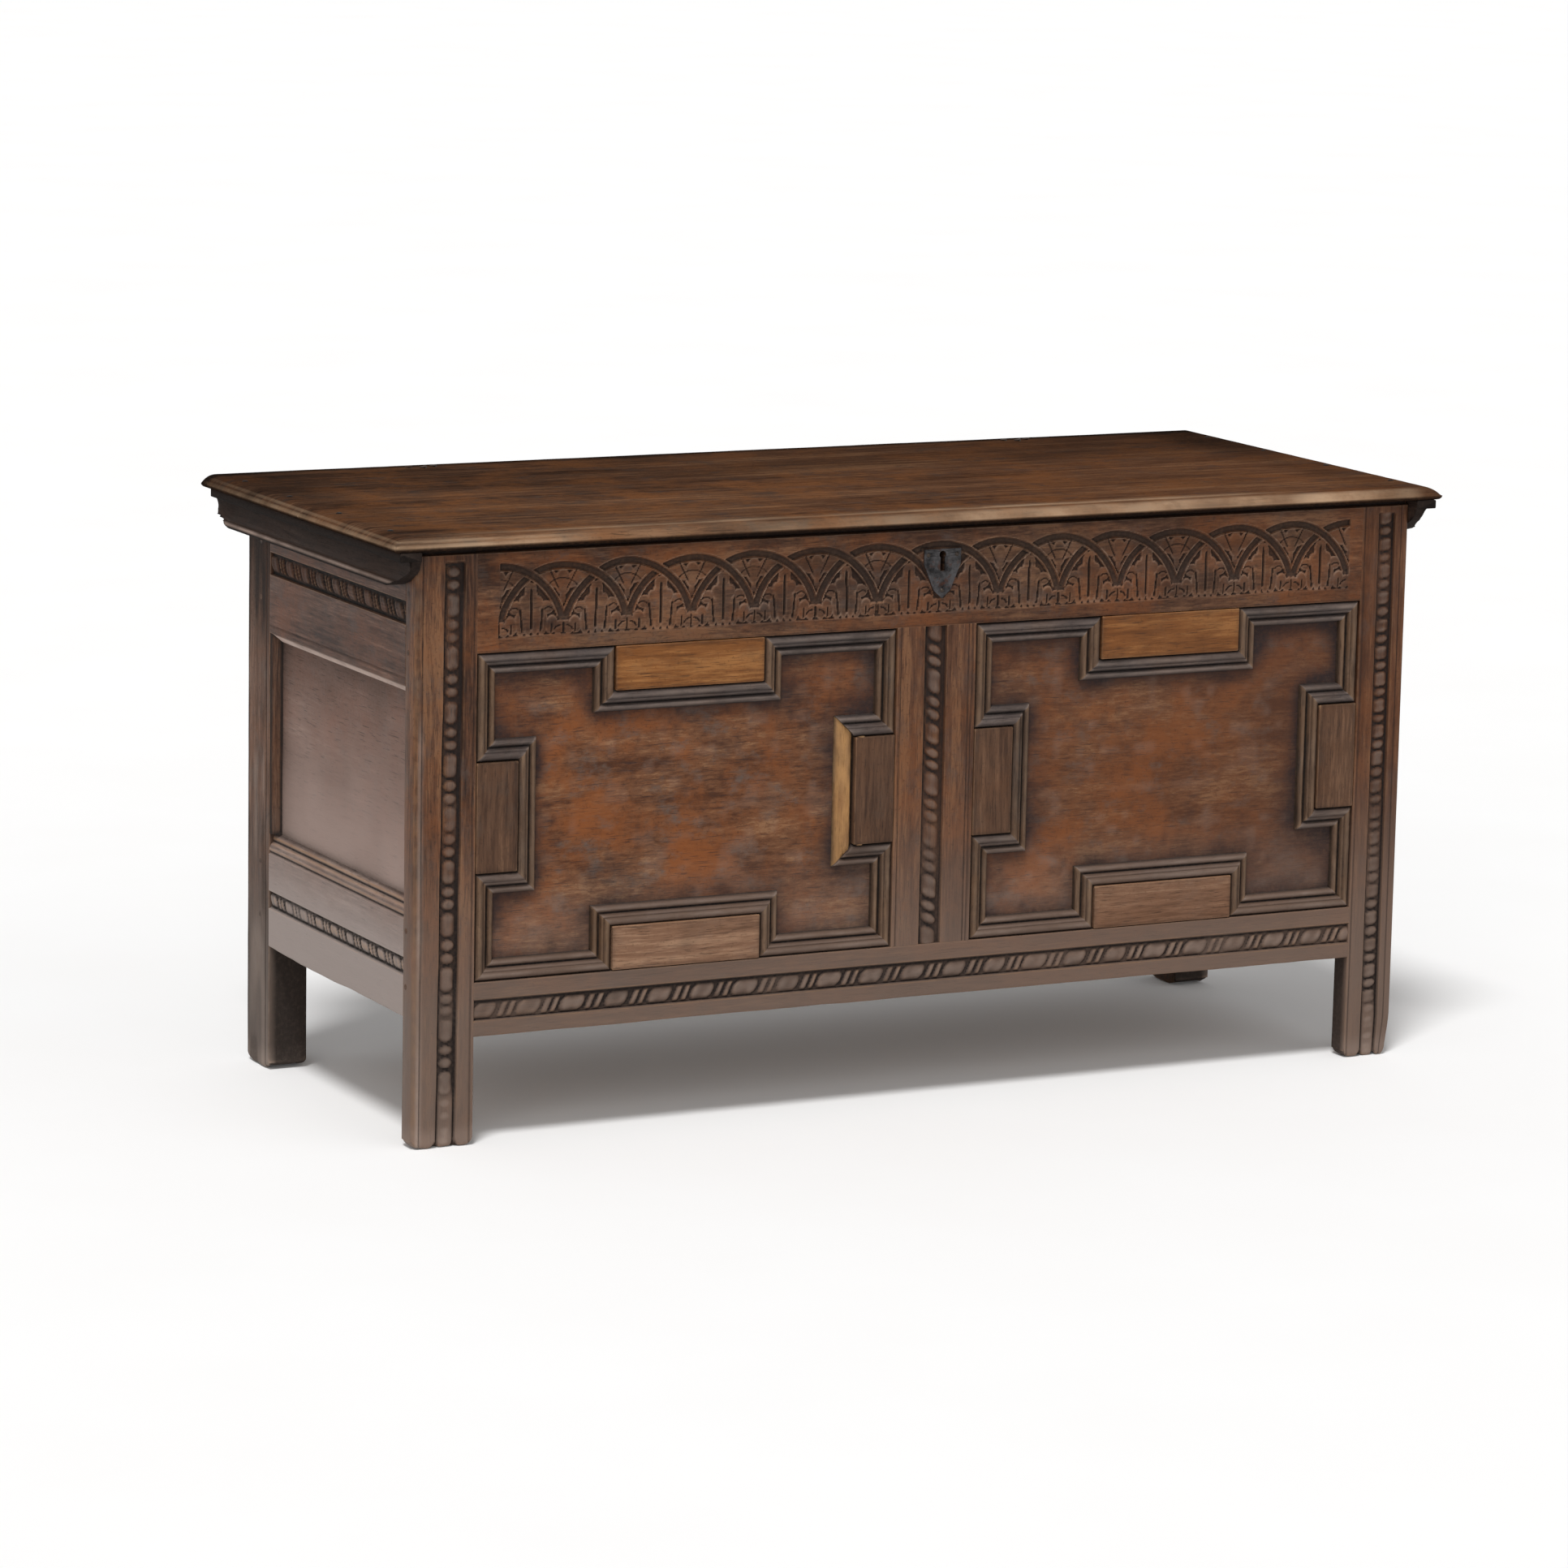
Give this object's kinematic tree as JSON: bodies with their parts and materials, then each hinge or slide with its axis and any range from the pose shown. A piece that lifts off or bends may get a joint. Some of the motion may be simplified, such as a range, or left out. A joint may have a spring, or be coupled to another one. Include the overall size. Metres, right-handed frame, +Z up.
{
  "type": "blanket chest",
  "caption": "Joined oak blanket chest with a carved front, mitred mouldings on framed panels, a hinged plank lid and an iron lock",
  "frame": {"origin": "on the floor under the middle of the lid", "axes": "+X along the front to the viewer's right, +Y from the front to the back, +Z up"},
  "size_m": [1.275, 0.544, 0.6548],
  "materials": {
    "frame_oak": "old waxed oak, dark patina",
    "panel_oak": "old waxed oak, warm",
    "moulding_oak": "old waxed oak, grey-brown with worn edges",
    "block_oak": "old waxed oak",
    "lid_oak": "old waxed oak, worn and streaked",
    "inside_oak": "dry unfinished oak",
    "peg_oak": "end-grain oak",
    "wrought_iron": "dark forged iron"
  },
  "bodies": {
    "carcass": {"front_left_stile": "frame_oak", "front_right_stile": "frame_oak", "rear_left_stile": "frame_oak", "rear_right_stile": "frame_oak", "front_top_rail": "frame_oak", "front_bottom_rail": "frame_oak", "front_muntin": "frame_oak", "left_side_top_rail": "frame_oak", "right_side_top_rail": "frame_oak", "left_side_bottom_rail": "frame_oak", "right_side_bottom_rail": "frame_oak", "back_top_rail": "frame_oak", "back_bottom_rail": "frame_oak", "back_muntin": "frame_oak", "front_left_panel": "panel_oak", "front_right_panel": "panel_oak", "left_side_panel": "panel_oak", "right_side_panel": "panel_oak", "back_left_panel": "panel_oak", "back_right_panel": "panel_oak", "left_panel_edge_mouldings": "moulding_oak", "left_panel_notch_mouldings": "moulding_oak", "left_panel_worn_moulding": "moulding_oak", "right_panel_edge_mouldings": "moulding_oak", "right_panel_notch_mouldings": "moulding_oak", "left_panel_top_block": "block_oak", "left_panel_bottom_block": "block_oak", "left_panel_left_block": "block_oak", "left_panel_right_block": "block_oak", "right_panel_top_block": "block_oak", "right_panel_bottom_block": "block_oak", "right_panel_left_block": "block_oak", "right_panel_right_block": "block_oak", "floor_board_1": "inside_oak", "floor_board_2": "inside_oak", "floor_board_3": "inside_oak", "floor_board_4": "inside_oak", "front_frame_pegs": "peg_oak", "side_frame_pegs": "peg_oak", "back_frame_pegs": "peg_oak", "left_hinge_frame_leaf": "wrought_iron", "right_hinge_frame_leaf": "wrought_iron", "left_hinge_pin": "wrought_iron", "right_hinge_pin": "wrought_iron", "hinge_frame_nails": "wrought_iron", "floor_nails": "wrought_iron", "escutcheon": "wrought_iron", "lock_case": "wrought_iron", "lock_spring": "wrought_iron", "lock_nails": "wrought_iron"},
    "lid": {"lid_front_board": "lid_oak", "lid_rear_board": "lid_oak", "left_lid_cleat": "lid_oak", "right_lid_cleat": "lid_oak", "left_hinge_lid_leaf": "wrought_iron", "right_hinge_lid_leaf": "wrought_iron", "lid_iron_nails": "wrought_iron", "cleat_nails": "wrought_iron", "lid_staple": "wrought_iron"},
    "bolt": {"lock_bolt": "wrought_iron"}
  },
  "joints": [
    {"name": "lid_hinge", "type": "hinge", "parent": "carcass", "child": "lid", "pos_m": [0, 0.2188, 0.6312], "axis": [-1, 0, 0], "range_deg": [0, 100]},
    {"name": "bolt_slide", "type": "slide", "parent": "carcass", "child": "bolt", "axis": [1, 0, 0], "range_m": [0, 0.012]}
  ]
}
